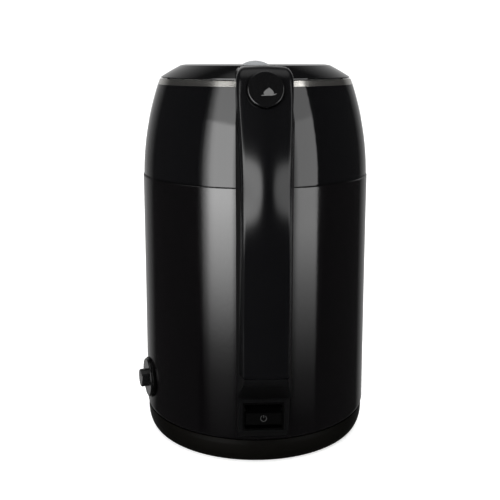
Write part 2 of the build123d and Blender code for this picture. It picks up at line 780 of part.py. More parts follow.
# ---- temperature dial -------------------------------------------------------------------------
def make_dial_escutcheon(envelope):
    plate = along_dial(70.0, DIAL_PLATE_Y, DIAL_R)
    plate = fillet(outer_rim(plate), 0.4)
    return on_dial_side(plate - along_dial(60, 90, DIAL_BUSH_R + 0.2)) - envelope


def make_dial_knob():
    disc = along_dial(DIAL_PLATE_Y + 0.3, KNOB_FACE_Y, KNOB_R)
    disc = fillet(outer_rim(disc), 0.5)
    grip = along_dial(KNOB_FACE_Y - 0.5, KNOB_TOP_Y, KNOB_GRIP_R)
    grip = fillet(outer_rim(grip), 0.6)
    pointer = block((-0.5, -90, DIAL_Z + 1.5), (0.5, 0.4 - KNOB_TOP_Y, DIAL_Z + 7))
    return on_dial_side(disc + grip - pointer - along_dial(70, SPINDLE_END_Y + 0.1, SPINDLE_R))


def make_dial_spindle():
    return on_dial_side(along_dial(69.0, SPINDLE_END_Y, SPINDLE_R))


def make_potentiometer():
    case = block((-8, -72.0, DIAL_Z - 8), (8, -66.0, DIAL_Z + 8))
    bush = along_dial(71.5, DIAL_PLATE_Y - 0.2, DIAL_BUSH_R)
    return on_dial_side(case + bush - along_dial(65.5, 90, SPINDLE_R + RUNNING_GAP))


# ---- assembly ---------------------------------------------------------------------------------
def build():
    envelope = jug_envelope(FIT_GAP)
    full = handle_solid(0.0)
    core = handle_solid(HANDLE_WALL)
    beak, duct = make_spout_beak()
    return {
        "upper_shell": make_upper_shell(),
        "lower_sleeve": make_lower_sleeve(),
        "rim_ring": make_rim_ring(),
        "inner_vessel": make_inner_vessel(),
        "neck_seal": make_neck_seal(),
        "spout_beak": beak,
        "spout_duct": duct,
        "spout_filter": make_spout_filter(),
        "base_housing": make_base_housing(),
        "bottom_cover": make_bottom_cover(),
        "bottom_screws": make_bottom_screws(),
        "connector_socket": make_connector_socket(),
        "contact_rings": make_contact_rings(),
        "thermostat_control": make_thermostat_control(),
        "vessel_support": make_vessel_support(),
        "heater_plate": make_heater_plate(),
        "heating_element": make_heating_element(),
        "sensor_probe": make_sensor_probe(),
        "control_board": make_control_board(),
        "handle_cover": make_handle_cover(full, core, envelope),
        "handle_grip": make_handle_grip(full, core, envelope),
        "handle_screws": make_handle_screws(),
        "steam_tube": make_steam_tube(),
        "button_guide": make_button_guide(),
        "lid_button": make_lid_button(),
        "button_spring": make_button_spring(),
        "release_slider": make_release_slider(),
        "switch_bezel": make_switch_bezel(full),
        "switch_lever": make_switch_lever(),
        "lever_pin": make_lever_pin(),
        "switch_block": make_switch_block(),
        "hinge_bracket": make_hinge_bracket(),
        "hinge_pin": make_hinge_pin(),
        "hinge_spring": make_hinge_spring(),
        "lid_hinge_arm": make_lid_hinge_arm(),
        "lid_cover": make_lid_cover(),
        "lid_cap": make_lid_cap(),
        "lid_base": make_lid_base(),
        "lid_screws": make_lid_screws(),
        "lid_disc": make_lid_disc(),
        "lid_seal": make_lid_seal(),
        "dial_escutcheon": make_dial_escutcheon(envelope),
        "dial_knob": make_dial_knob(),
        "dial_spindle": make_dial_spindle(),
        "potentiometer": make_potentiometer(),
    }


for node, shape in build().items():
    shape.label = node
    export_step(shape, f"parts/{node}.step")
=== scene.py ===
"""Looks of the insulated electric jug kettle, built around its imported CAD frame. Metres, Z up."""

import cmath
import json
import math

import bmesh
import bpy
import numpy as np
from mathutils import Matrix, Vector


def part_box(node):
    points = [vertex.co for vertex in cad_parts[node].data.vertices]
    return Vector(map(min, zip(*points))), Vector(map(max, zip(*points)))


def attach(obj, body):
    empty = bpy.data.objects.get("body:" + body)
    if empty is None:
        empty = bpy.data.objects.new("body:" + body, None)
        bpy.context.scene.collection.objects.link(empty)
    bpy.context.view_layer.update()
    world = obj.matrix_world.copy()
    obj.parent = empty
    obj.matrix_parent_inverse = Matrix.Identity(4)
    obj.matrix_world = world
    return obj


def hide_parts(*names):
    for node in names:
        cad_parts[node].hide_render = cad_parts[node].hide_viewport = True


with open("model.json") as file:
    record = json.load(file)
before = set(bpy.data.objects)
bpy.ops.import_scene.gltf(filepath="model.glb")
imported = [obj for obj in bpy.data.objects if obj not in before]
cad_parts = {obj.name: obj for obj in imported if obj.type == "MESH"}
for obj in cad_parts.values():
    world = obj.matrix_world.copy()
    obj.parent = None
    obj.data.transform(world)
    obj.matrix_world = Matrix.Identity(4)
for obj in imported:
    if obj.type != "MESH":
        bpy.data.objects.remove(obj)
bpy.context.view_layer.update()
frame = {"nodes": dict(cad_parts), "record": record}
nodes = frame["nodes"]
scene = bpy.context.scene

# ---- camera -----------------------------------------------------------------------------------
SEAM_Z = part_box("lower_sleeve")[1].z
CAMERA_DISTANCE = 0.5615            # level distance from the jug's axis
CAMERA_ABOVE_SEAM = 0.0755
CAMERA_TURN = math.radians(3.2)     # from the handle's side towards the dial
CAMERA_PITCH = math.radians(13.06)
CAMERA_YAW = math.radians(0.35)     # aim left of the jug's axis
CAMERA_LENS = 59.87


def make_camera():
    data = bpy.data.cameras.new("camera")
    data.lens = CAMERA_LENS
    data.sensor_width = 36.0
    data.clip_start = 0.01
    camera = bpy.data.objects.new("camera", data)
    scene.collection.objects.link(camera)
    camera.location = (
        CAMERA_DISTANCE * math.cos(CAMERA_TURN),
        -CAMERA_DISTANCE * math.sin(CAMERA_TURN),
        SEAM_Z + CAMERA_ABOVE_SEAM,
    )
    aim = CAMERA_TURN - CAMERA_YAW
    forward = Vector((
        -math.cos(aim) * math.cos(CAMERA_PITCH),
        math.sin(aim) * math.cos(CAMERA_PITCH),
        -math.sin(CAMERA_PITCH),
    ))
    camera.rotation_mode = "QUATERNION"
    camera.rotation_quaternion = forward.to_track_quat("-Z", "Y")
    scene.camera = camera


# ---- node helpers -----------------------------------------------------------------------------
NORMAL_MATCH = 0.97                 # least cosine at which the mesh's normal counts as the wall's


def ramp(tree, value, from_low, from_high, to_low, to_high):
    """Maps one range onto another; values outside it give the value at its end."""
    node = tree.nodes.new("ShaderNodeMapRange")
    node.inputs["From Min"].default_value = from_low
    node.inputs["From Max"].default_value = from_high
    node.inputs["To Min"].default_value = to_low
    node.inputs["To Max"].default_value = to_high
    tree.links.new(value, node.inputs["Value"])
    return node.outputs["Result"]


class Material:
    """A node material with a Principled shader and short ways to add nodes to it."""

    def __init__(self, name, base, roughness, metallic=0.0, specular=0.5):
        self.material = bpy.data.materials.new(name)
        self.material.use_nodes = True
        self.tree = self.material.node_tree
        self.shader = self.tree.nodes["Principled BSDF"]
        self.set("Base Color", (*base, 1.0))
        self.set("Roughness", roughness)
        self.set("Metallic", metallic)
        self.set("Specular IOR Level", specular)
        self.place = self.add("ShaderNodeTexCoord").outputs["Object"]

    def set(self, socket, value):
        self.shader.inputs[socket].default_value = value

    def add(self, kind, **settings):
        node = self.tree.nodes.new(kind)
        for key, value in settings.items():
            setattr(node, key, value)
        return node

    def link(self, output, socket):
        self.tree.links.new(output, socket)

    def scaled(self, x, y, z):
        """Object coordinates stretched by three factors."""
        mapping = self.add("ShaderNodeMapping")
        mapping.inputs["Scale"].default_value = (x, y, z)
        self.link(self.place, mapping.inputs["Vector"])
        return mapping.outputs["Vector"]

    def round_axis(self, stretch):
        """Distance from the Z axis and height, stretched alike, so noise on them runs in rings."""
        flat = self.add("ShaderNodeVectorMath", operation="LENGTH")
        self.link(self.scaled(stretch, stretch, 0), flat.inputs[0])
        split = self.add("ShaderNodeSeparateXYZ")
        self.link(self.scaled(0, 0, stretch), split.inputs["Vector"])
        joined = self.add("ShaderNodeCombineXYZ")
        self.link(flat.outputs["Value"], joined.inputs["X"])
        self.link(split.outputs["Z"], joined.inputs["Z"])
        return joined.outputs["Vector"]

    def round_normal(self, rise):
        """Exact normal of a wall turned about the Z axis, where the mesh's own is close to it."""
        level = self.add("ShaderNodeVectorMath", operation="NORMALIZE")
        self.link(self.scaled(1, 1, 0), level.inputs[0])
        raised = self.add("ShaderNodeVectorMath", operation="ADD")
        raised.inputs[1].default_value = (0, 0, rise)
        self.link(level.outputs["Vector"], raised.inputs[0])
        world = self.add(
            "ShaderNodeVectorTransform",
            vector_type="NORMAL",
            convert_from="OBJECT",
            convert_to="WORLD",
        )
        self.link(raised.outputs["Vector"], world.inputs["Vector"])
        meshed = self.add("ShaderNodeNewGeometry").outputs["Normal"]
        match = self.add("ShaderNodeVectorMath", operation="DOT_PRODUCT")
        self.link(meshed, match.inputs[0])
        self.link(world.outputs["Vector"], match.inputs[1])
        close = self.add("ShaderNodeMath", operation="GREATER_THAN")
        close.inputs[1].default_value = NORMAL_MATCH
        self.link(match.outputs["Value"], close.inputs[0])
        choice = self.add("ShaderNodeMix", data_type="VECTOR")
        self.link(close.outputs["Value"], choice.inputs[0])
        self.link(meshed, choice.inputs[4])
        self.link(world.outputs["Vector"], choice.inputs[5])
        return choice.outputs[1]

    def noise(self, scale, detail=2.0, where=None):
        node = self.add("ShaderNodeTexNoise")
        node.inputs["Scale"].default_value = scale
        node.inputs["Detail"].default_value = detail
        self.link(where or self.place, node.inputs["Vector"])
        return node.outputs["Fac"]

    def spread(self, value, low, high, from_low=0.3, from_high=0.7):
        """Maps a noise value onto a range."""
        return ramp(self.tree, value, from_low, from_high, low, high)

    def blend(self, value, first, second):
        """Mixes two colours by a value, as the base colour."""
        node = self.add("ShaderNodeMix", data_type="RGBA")
        node.inputs[6].default_value = (*first, 1.0)
        node.inputs[7].default_value = (*second, 1.0)
        self.link(value, node.inputs[0])
        self.link(node.outputs[2], self.shader.inputs["Base Color"])

    def bump(self, height, strength, distance, after=None):
        """Tilts the shading normal by a height, on top of another normal if one is given."""
        node = self.add("ShaderNodeBump")
        node.inputs["Strength"].default_value = strength
        node.inputs["Distance"].default_value = distance
        self.link(height, node.inputs["Height"])
        if after:
            self.link(after, node.inputs["Normal"])
        self.link(node.outputs["Normal"], self.shader.inputs["Normal"])


def gloss_plastic(name, base=(0.0022, 0.0022, 0.0025), roughness=0.03, specular=0.5):
    """Piano-gloss moulding: a deep colour, a very shallow orange peel and faint handling haze."""
    m = Material(name, base, roughness, specular=specular)
    haze = m.noise(22.0, 4.0)
    m.link(m.spread(haze, roughness, roughness + 0.05), m.shader.inputs["Roughness"])
    peel = m.noise(260.0, 1.0)
    m.bump(peel, 0.05, 0.0002)
    return m.material


SLEEVE_RISE = 0.0096                # lean of the sleeve's wall, as height over width


def sleeve_paint():
    """Stoved black enamel on steel: a soft gloss, a fine orange peel and a faint fleck."""
    m = Material("sleeve_paint", (0.0030, 0.0025, 0.0030), 0.1, specular=0.78)
    fleck = m.spread(m.noise(2600.0, 1.0), 0, 1, 0.55, 0.8)
    m.blend(fleck, (0.0012, 0.0010, 0.0012), (0.0028, 0.0023, 0.0028))
    cloud = m.noise(16.0, 3.0)
    m.link(m.spread(cloud, 0.09, 0.12), m.shader.inputs["Roughness"])
    peel = m.noise(420.0, 2.0)
    m.bump(peel, 0.06, 0.0002, after=m.round_normal(SLEEVE_RISE))
    return m.material


def matte_plastic(name, base, roughness=0.55, specular=0.4):
    """Spark-eroded moulding: fine grain in both height and gloss."""
    m = Material(name, base, roughness, specular=specular)
    fine = m.noise(900.0, 3.0)
    patch = m.noise(35.0, 3.0)
    light = tuple(c * 1.35 for c in base)
    m.blend(m.spread(patch, 0, 1), base, light)
    m.link(m.spread(fine, roughness - 0.07, roughness + 0.1), m.shader.inputs["Roughness"])
    m.bump(fine, 0.25, 0.0002)
    return m.material


def turned_steel(name, base=(0.78, 0.76, 0.72), roughness=0.16, turned=True):
    """Bright steel with fine lines left by turning or rolling."""
    m = Material(name, base, roughness, metallic=1.0)
    lines = m.noise(30.0, 3.0, m.round_axis(90.0) if turned else m.scaled(60, 1, 1))
    m.link(m.spread(lines, roughness * 0.85, roughness * 1.3), m.shader.inputs["Roughness"])
    dark = tuple(c * 0.9 for c in base)
    m.blend(m.spread(lines, 0, 1), dark, base)
    m.bump(lines, 0.05, 0.0001)
    return m.material


def rubber(name, base):
    """Moulded rubber: a dull fine grain in slightly uneven grey."""
    m = Material(name, base, 0.7, specular=0.3)
    fine = m.noise(1200.0, 2.0)
    m.link(m.spread(fine, 0.62, 0.8), m.shader.inputs["Roughness"])
    m.blend(m.spread(m.noise(80.0), 0, 1), base, tuple(c * 1.2 for c in base))
    m.bump(fine, 0.15, 0.0002)
    return m.material


def make_materials():
    return {
        "gloss_black": gloss_plastic("gloss_black"),
        # cap_grey: the light grey base colour is painted reflection, standing in for the overhead
        # light glancing off the lid's centre cap
        "cap_grey": gloss_plastic("cap_grey", (0.30, 0.31, 0.32), 0.22),
        "sleeve_paint": sleeve_paint(),
        "bright_steel": turned_steel("bright_steel"),
        "vessel_steel": turned_steel("vessel_steel", (0.62, 0.61, 0.59), 0.24),
        "seal_rubber": rubber("seal_rubber", (0.32, 0.32, 0.31)),
        "matte_black": matte_plastic("matte_black", (0.006, 0.006, 0.006)),
        "filter_plastic": matte_plastic("filter_plastic", (0.03, 0.03, 0.03)),
        "base_black": matte_plastic("base_black", (0.0018, 0.0016, 0.0012), 0.42, specular=0.1),
        "screw_steel": turned_steel("screw_steel", (0.55, 0.55, 0.56), 0.3, turned=False),
        "contact_brass": turned_steel("contact_brass", (0.75, 0.55, 0.27), 0.22),
        "control_plastic": matte_plastic("control_plastic", (0.6, 0.57, 0.5), 0.5),
        "heater_aluminium": turned_steel("heater_aluminium", (0.6, 0.6, 0.61), 0.4),
        "board_green": matte_plastic("board_green", (0.03, 0.14, 0.06), 0.4),
        "grip_black": gloss_plastic("grip_black", (0.002, 0.002, 0.0022), 0.3, specular=0.3),
        "button_black": gloss_plastic("button_black", (0.003, 0.003, 0.0032), 0.06),
        "lever_black": gloss_plastic("lever_black", (0.001, 0.001, 0.001), 0.2, specular=0.15),
        "dial_grey": gloss_plastic("dial_grey", (0.004, 0.004, 0.0042), 0.1),
        "print_grey": matte_plastic("print_grey", (0.075, 0.075, 0.075), 0.5),
        "print_dark": matte_plastic("print_dark", (0.012, 0.012, 0.012), 0.5),
    }


def dress_nodes(materials):
    """Gives every CAD node the material of its slot in the record."""
    for part in frame["record"]["subparts"]:
        mesh = nodes[part["node"]].data
        mesh.materials.clear()
        mesh.materials.append(materials[part["material_slot"]])


# ---- mesh helpers -----------------------------------------------------------------------------
BEVEL_ANGLE = math.radians(50)      # an edge that turns by less than this is not rounded
SHARP_ANGLE = math.radians(40)      # an edge that turns by more than this shades as a corner
WELD_DISTANCE = 0.00001             # the same for the points of a CAD piece


def add_mesh(name, points, faces, material, body):
    """Makes a smooth-shaded piece that rides on a body."""
    mesh = bpy.data.meshes.new(name)
    mesh.from_pydata(points, [], faces)
    mesh.materials.append(material)
    piece = bpy.data.objects.new(name, mesh)
    scene.collection.objects.link(piece)
    for face in mesh.polygons:
        face.use_smooth = True
    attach(piece, body)
    return piece


def apply_modifiers(piece):
    """Turns a piece's modifiers into mesh and marks its sharp edges."""
    evaluated = piece.evaluated_get(bpy.context.evaluated_depsgraph_get())
    mesh = bpy.data.meshes.new_from_object(evaluated)
    piece.modifiers.clear()
    piece.data = mesh
    mesh.set_sharp_from_angle(angle=SHARP_ANGLE)


# ---- handle cover -----------------------------------------------------------------------------
COVER_LOW, COVER_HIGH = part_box("handle_cover")
COVER_START_X = 0.060
COVER_SHELL = 0.0012                # thickness of the cover's moulding
COVER_SIDE = 0.009                  # height of the cover's side walls
LID_GAP = 0.0006                    # between the lid's edge and the cover
LID_EDGE_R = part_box("lid_cover")[1].y + LID_GAP
SLOT_END_X = 0.0693                 # far end of the slot for the lid's hinge arm
BUTTON_Z = 0.2356                   # height at which the button's axis meets the cover's face
BORE_R = 0.0106                     # bore that the button slides in
BORE_PATCH = 0.0138                 # half length of the patch of face round the bore
BORE_RINGS = 4
ROW_STEP = 0.0016                   # spacing of the rows of points along the cover
EDGE_STEPS = 5                      # points round each of the face's edges
FACE_STEPS = 20                     # gaps between points across the face
FACE_START = 2 + EDGE_STEPS         # first column of the face, after the side wall and the edge
FACE_END = FACE_START + FACE_STEPS
SLOT_START, SLOT_END = FACE_START + 3, FACE_END - 3
COLUMNS = FACE_END + FACE_START + 1
MERGE_DISTANCE = 0.00002            # points of the cover closer than this become one
# Outer edge of the handle in its middle plane, from the lid down to the cover's end, as x + z i.
COVER_CORNERS = [
    complex(COVER_START_X, COVER_HIGH.z),
    complex(0.0969, COVER_HIGH.z),
    complex(COVER_HIGH.x, 0.190),
    complex(COVER_HIGH.x, 0.152),
    complex(0.1153, 0.105),
    complex(0.1153, COVER_LOW.z),
]
COVER_RADII = [0.012, 0.060, 0.200, 0.200]


class RoundedPath:
    """Straight runs joined by tangent arcs, measured by the distance along them."""

    def __init__(self, corners, radii):
        self.runs = []
        start = corners[0]
        for index, radius in enumerate(radii):
            corner = corners[index + 1]
            before = (corner - start) / abs(corner - start)
            after = (corners[index + 2] - corner) / abs(corners[index + 2] - corner)
            turn = cmath.phase(after / before)
            tangent = radius * math.tan(abs(turn) / 2)
            bend = math.copysign(1 / radius, turn)
            self.runs.append((start, before, 0.0, abs(corner - start) - tangent))
            self.runs.append((corner - before * tangent, before, bend, radius * abs(turn)))
            start = corner + after * tangent
        last = corners[-1]
        self.runs.append((start, (last - start) / abs(last - start), 0.0, abs(last - start)))
        self.length = sum(run[3] for run in self.runs)

    def at(self, distance):
        """Point and direction at a distance from the start."""
        for start, direction, bend, length in self.runs:
            if distance <= length:
                break
            distance -= length
        if bend == 0.0:
            return start + direction * distance, direction
        swing = cmath.exp(1j * bend * distance)
        return start + direction * (swing - 1) / (1j * bend), direction * swing


def eased(distance, table, window=0.004):
    """Reads a table of (distance, value) with its corners softened."""
    places, values = zip(*table)
    reads = [np.interp(distance + step * window, places, values) for step in (-1, -0.5, 0, 0.5, 1)]
    return float(sum(reads)) / len(reads)


class CoverSurface:
    """Outside of the handle cover along the handle's path.

    Its face is two flanks that meet in a rounded ridge, with a rounded edge on each side. Widths
    are (x, half width); slopes and edges are (distance along the path, value).
    """

    widths = [
        (0.040, 0.0154),
        (0.062, 0.0152),
        (0.092, 0.0150),
        (0.099, 0.0164),
        (0.116, 0.0131),
        (0.130, 0.0131),
    ]
    slopes = [
        (0.0, 0.08),
        (0.072, 0.08),
        (0.084, 0.20),
        (0.095, 0.46),
        (0.104, 0.53),
        (0.111, 0.48),
        (0.118, 0.34),
        (0.127, 0.18),
        (0.137, 0.08),
    ]
    edges = [
        (0.0, 0.0042),
        (0.032, 0.0042),
        (0.055, 0.0016),
        (0.085, 0.0008),
    ]
    ridge = 0.0050

    def __init__(self):
        self.path = RoundedPath(COVER_CORNERS, COVER_RADII)

    def shape(self, distance):
        """Half width, slope of the flanks and edge radius at a distance along the path."""
        half = eased(self.path.at(distance)[0].real, self.widths)
        return half, eased(distance, self.slopes), eased(distance, self.edges)

    def button_distance(self):
        """Distance along the path to the button's middle, on the run after the top bend."""
        run_start = sum(run[3] for run in self.path.runs[:2])
        first, direction = self.path.at(run_start)
        return run_start + (first.imag - BUTTON_Z) / -direction.imag

    def drop(self, slope, y):
        """Depth of the face beside its middle: two flanks that meet in a rounded ridge."""
        return slope * (math.hypot(y, self.ridge) - self.ridge)

    def place(self, distance, y, drop):
        """Point at a distance along the path, a sideways place and a depth below the outer edge."""
        middle, direction = self.path.at(distance)
        spot = middle - direction * 1j * drop
        return Vector((spot.real, y, spot.imag))

    def face(self, distance, y):
        """Point of the face."""
        return self.place(distance, y, self.drop(self.shape(distance)[1], y))

    def section(self, distance):
        """Sideways places and depths across the cover, from one side wall to the other."""
        half, slope, edge = self.shape(distance)
        centre_y = half - edge
        # The flank ends where it leans as much as the edge's arc does; six rounds settle the place.
        flank = centre_y
        for _ in range(6):
            lean = math.atan(slope * flank / math.hypot(flank, self.ridge))
            flank = centre_y + edge * math.sin(lean)
        centre_drop = self.drop(slope, flank) + edge * math.cos(lean)
        end = math.pi / 2 - lean
        corner = []
        for step in range(EDGE_STEPS):
            angle = end * step / EDGE_STEPS
            corner.append((centre_y + edge * math.cos(angle), centre_drop - edge * math.sin(angle)))
        foot = max(half, eased(self.place(distance, 0, COVER_SIDE).x, self.widths))
        side = [(foot, COVER_SIDE), ((foot + half) / 2, (COVER_SIDE + centre_drop) / 2)] + corner
        face = []
        for step in range(FACE_STEPS + 1):
            y = flank * (1 - 2 * step / FACE_STEPS)
            face.append((y, self.drop(slope, y)))
        return side + face + [(-y, drop) for y, drop in reversed(side)]


def bore_reach(surface, middle, angle):
    """How far a ray over the face runs from the button's middle before it meets the bore."""
    direction = surface.path.at(middle)[1] * 1j
    axis = Vector((direction.real, 0, direction.imag))
    centre = surface.place(middle, 0, 0)
    near, far = BORE_R * 0.8, BORE_R * 1.4
    # Halving the gap 24 times settles the reach.
    for _ in range(24):
        reach = (near + far) / 2
        spot = surface.face(middle + reach * math.cos(angle), reach * math.sin(angle)) - centre
        if (spot - axis * spot.dot(axis)).length < BORE_R:
            near = reach
        else:
            far = reach
    return near


def cover_rows(length, middle):
    """Distances of the cover's rows, then the rows that end the slot and bound the bore's patch."""
    slot_end = SLOT_END_X - COVER_START_X
    stops = [0.0, slot_end, middle - BORE_PATCH, middle + BORE_PATCH, length]
    rows = []
    starts = []
    for low, high in zip(stops, stops[1:]):
        starts.append(len(rows))
        count = max(2, round((high - low) / ROW_STEP))
        rows += [low + (high - low) * step / count for step in range(count)]
    rows.append(stops[-1])
    return rows, starts[1:]


def cover_points(surface, rows):
    """Points of the cover's outside, row by row, held back from the lid's round edge."""
    points = []
    for distance in rows:
        for y, drop in surface.section(distance):
            lid_edge = math.sqrt(LID_EDGE_R**2 - y**2) - COVER_START_X
            points.append(surface.place(max(distance, lid_edge), y, drop))
    return points


def cover_faces(row_count, slot_row, patch_low, patch_high):
    """Faces between rows and columns, without the hinge arm's slot and the patch round the bore."""
    faces = []
    for row in range(row_count - 1):
        for column in range(COLUMNS - 1):
            in_patch = patch_low <= row < patch_high and FACE_START <= column < FACE_END
            in_slot = row < slot_row and SLOT_START <= column < SLOT_END
            if not (in_patch or in_slot):
                corner = row * COLUMNS + column
                faces.append((corner, corner + COLUMNS, corner + COLUMNS + 1, corner + 1))
    return faces


def add_bore_patch(surface, middle, rows, patch_low, patch_high, points, faces):
    """Fills the patch with rings of faces that close in on the button's bore."""
    border = [(row, FACE_START) for row in range(patch_low, patch_high)]
    border += [(patch_high, column) for column in range(FACE_START, FACE_END)]
    border += [(row, FACE_END) for row in range(patch_high, patch_low, -1)]
    border += [(patch_low, column) for column in range(FACE_END, FACE_START, -1)]
    spokes = []
    for row, column in border:
        y = points[row * COLUMNS + column].y
        along = rows[row] - middle
        angle = math.atan2(y, along)
        inner = bore_reach(surface, middle, angle)
        spokes.append((along, y, inner * math.cos(angle), inner * math.sin(angle)))
    before = [row * COLUMNS + column for row, column in border]
    for ring in range(1, BORE_RINGS + 1):
        share = ring / BORE_RINGS
        current = []
        for far_along, far_y, near_along, near_y in spokes:
            along = far_along + (near_along - far_along) * share
            y = far_y + (near_y - far_y) * share
            current.append(len(points))
            points.append(surface.face(middle + along, y))
        for index in range(len(border)):
            following = (index + 1) % len(border)
            faces.append((before[index], before[following], current[following], current[index]))
        before = current


def thicken_cover(cover):
    """Joins the cover's points, gives it its thickness and takes the sharpness off its rims."""
    mesh = bmesh.new()
    mesh.from_mesh(cover.data)
    loose = [vertex for vertex in mesh.verts if not vertex.link_faces]
    bmesh.ops.delete(mesh, geom=loose, context="VERTS")
    bmesh.ops.remove_doubles(mesh, verts=mesh.verts, dist=MERGE_DISTANCE)
    bmesh.ops.recalc_face_normals(mesh, faces=mesh.faces)
    mesh.to_mesh(cover.data)
    mesh.free()
    solid = cover.modifiers.new("thickness", "SOLIDIFY")
    solid.thickness = COVER_SHELL
    solid.offset = -1
    rim = cover.modifiers.new("soft_rims", "BEVEL")
    rim.limit_method = "ANGLE"
    rim.angle_limit = BEVEL_ANGLE
    rim.width = 0.0003
    rim.segments = 2
    apply_modifiers(cover)


def make_handle_cover(material):
    surface = CoverSurface()
    middle = surface.button_distance()
    rows, (slot_row, patch_low, patch_high) = cover_rows(surface.path.length, middle)
    points = cover_points(surface, rows)
    faces = cover_faces(len(rows), slot_row, patch_low, patch_high)
    add_bore_patch(surface, middle, rows, patch_low, patch_high, points, faces)
    cover = add_mesh("handle_cover_shell", points, faces, material, "kettle")
    thicken_cover(cover)
    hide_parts("handle_cover")


# ---- printed marks ----------------------------------------------------------------------------
PRINT_SINK = 0.00004                # how far a print reaches into the surface it lies on
PRINT_RISE = 0.00006                # how far it stands proud of it
MILLIMETRE = 0.001
LEVER_AXIS_X, LEVER_AXIS_Z = 0.0882, 0.0434
# Upper and lower end of the lever's face in its middle plane.
LEVER_FACE_TOP = Vector((LEVER_AXIS_X + 0.0074, 0, LEVER_AXIS_Z + 0.0006))
LEVER_FACE_FOOT = Vector((LEVER_AXIS_X + 0.0090, 0, LEVER_AXIS_Z - 0.0062))
LEVER_SIGN_PLACE = 0.45             # share of the way down the lever's face
DIAL_AZIMUTH = -74.5                # degrees from +X towards +Y
DIAL_HEIGHT = 0.039
DIAL_MARKS = 10
DIAL_MARK_GAP = 30                  # degrees between marks, over the dial's 270 degrees of travel
DIAL_MARK_INNER_R, DIAL_MARK_OUTER_R = 0.01325, 0.0136
DIAL_MARK_HALF = 0.00018            # half the width of a mark


def add_print(name, outlines, origin, right, up, material, body):
    """Flat printed shapes on a surface: outlines are lists of (right, up) corners in metres."""
    outward = right.cross(up)
    points = []
    faces = []
    for outline in outlines:
        start, count = len(points), len(outline)
        for lift in (-PRINT_SINK, PRINT_RISE):
            for across, along in outline:
                points.append(origin + right * across + up * along + outward * lift)
        faces.append([start + count + index for index in range(count)])
        faces.append([start + index for index in reversed(range(count))])
        for index in range(count):
            following = (index + 1) % count
            side = (index, following, count + following, count + index)
            faces.append([start + corner for corner in side])
    mark = add_mesh(name, points, faces, material, body)
    for face in mark.data.polygons:
        face.use_smooth = False
    return mark


def top_along(node, outward):
    """Farthest reach of a CAD node along a direction."""
    piece = nodes[node]
    return max((piece.matrix_world @ vertex.co).dot(outward) for vertex in piece.data.vertices)


def arc_band(inner, outer, first, last, steps):
    """Outline of a ring sector between two angles in degrees."""
    angles = [math.radians(first + (last - first) * step / steps) for step in range(steps + 1)]
    far = [(outer * math.cos(angle), outer * math.sin(angle)) for angle in angles]
    near = [(inner * math.cos(angle), inner * math.sin(angle)) for angle in reversed(angles)]
    return far + near


def make_button_icon(material):
    """An opening lid, off the button's middle: a dome on a thin bar."""
    surface = CoverSurface()
    middle, direction = surface.path.at(surface.button_distance())
    right = Vector((0, 1, 0))
    up = Vector((-direction.real, 0, -direction.imag))
    outward = right.cross(up)
    centre = Vector((middle.real, 0, middle.imag))
    origin = centre + outward * (top_along("lid_button", outward) - centre.dot(outward))
    # Corners in millimetres, sideways and up from the button's middle.
    dome = [
        (-1.0, -3.3),
        (-1.4, -2.4),
        (-0.6, -1.2),
        (0.8, -0.1),
        (1.75, 0.5),
        (2.6, -0.1),
        (3.7, -1.2),
        (4.2, -2.1),
        (4.1, -3.1),
    ]
    bar = [
        (-3.0, -3.8),
        (-1.0, -3.35),
        (4.3, -3.05),
        (6.0, -2.7),
        (4.8, -3.6),
        (3.0, -3.95),
        (-1.8, -4.05),
    ]
    outlines = []
    for shape in (dome, bar):
        outlines.append([(MILLIMETRE * across, MILLIMETRE * along) for across, along in shape])
    add_print("button_icon", outlines, origin, right, up, material, "button")


def make_lever_icon(material):
    """A small stroke in a broken ring on the lever's face, the usual switch sign."""
    stroke = [(-0.0003, 0.0003), (0.0003, 0.0003), (0.0003, 0.0019), (-0.0003, 0.0019)]
    ring = arc_band(inner=0.0015, outer=0.0020, first=125, last=415, steps=28)
    origin = LEVER_FACE_TOP.lerp(LEVER_FACE_FOOT, LEVER_SIGN_PLACE)
    right = Vector((0, 1, 0))
    up = (LEVER_FACE_TOP - LEVER_FACE_FOOT).normalized()
    add_print("lever_icon", [ring, stroke], origin, right, up, material, "lever")


def make_dial_marks(material):
    """Short strokes round the dial's edge, evenly spaced over its travel."""
    angle = math.radians(DIAL_AZIMUTH)
    outward = Vector((math.cos(angle), math.sin(angle), 0))
    up = Vector((0, 0, 1))
    right = up.cross(outward)
    origin = outward * top_along("dial_escutcheon", outward) + up * DIAL_HEIGHT
    corners = [
        complex(DIAL_MARK_INNER_R, -DIAL_MARK_HALF),
        complex(DIAL_MARK_OUTER_R, -DIAL_MARK_HALF),
        complex(DIAL_MARK_OUTER_R, DIAL_MARK_HALF),
        complex(DIAL_MARK_INNER_R, DIAL_MARK_HALF),
    ]
    strokes = []
    for step in range(DIAL_MARKS):
        turn = cmath.exp(1j * math.radians(90 - DIAL_MARK_GAP * step))
        strokes.append([((turn * corner).real, (turn * corner).imag) for corner in corners])
    add_print("dial_marks", strokes, origin, right, up, material, "kettle")


def soften(node, width):
    """Rounds the sharp edges of a CAD piece by a small width."""
    weld = nodes[node].modifiers.new("weld", "WELD")
    weld.merge_threshold = WELD_DISTANCE
    edge = nodes[node].modifiers.new("soft_edges", "BEVEL")
    edge.limit_method = "ANGLE"
    edge.angle_limit = BEVEL_ANGLE
    edge.width = width
    edge.segments = 3
    edge.harden_normals = True


# ---- stage ------------------------------------------------------------------------------------
PANEL_DISTANCE = 1.0                # from the jug's axis to the softboxes
FLOOR_HALF = 3.0                    # half the floor's side
FLOOR_Z = -0.0002                   # just under the kettle's foot
FLOOR_GLOW = 0.5
# Radiance of the surroundings: the room as the camera sees it, and what reflections see instead.
ROOM_GLOW = 1.15
BACKDROP_GLOW = 0.62
WALL_GLOW = 0.035
CEILING_GLOW = 1.1


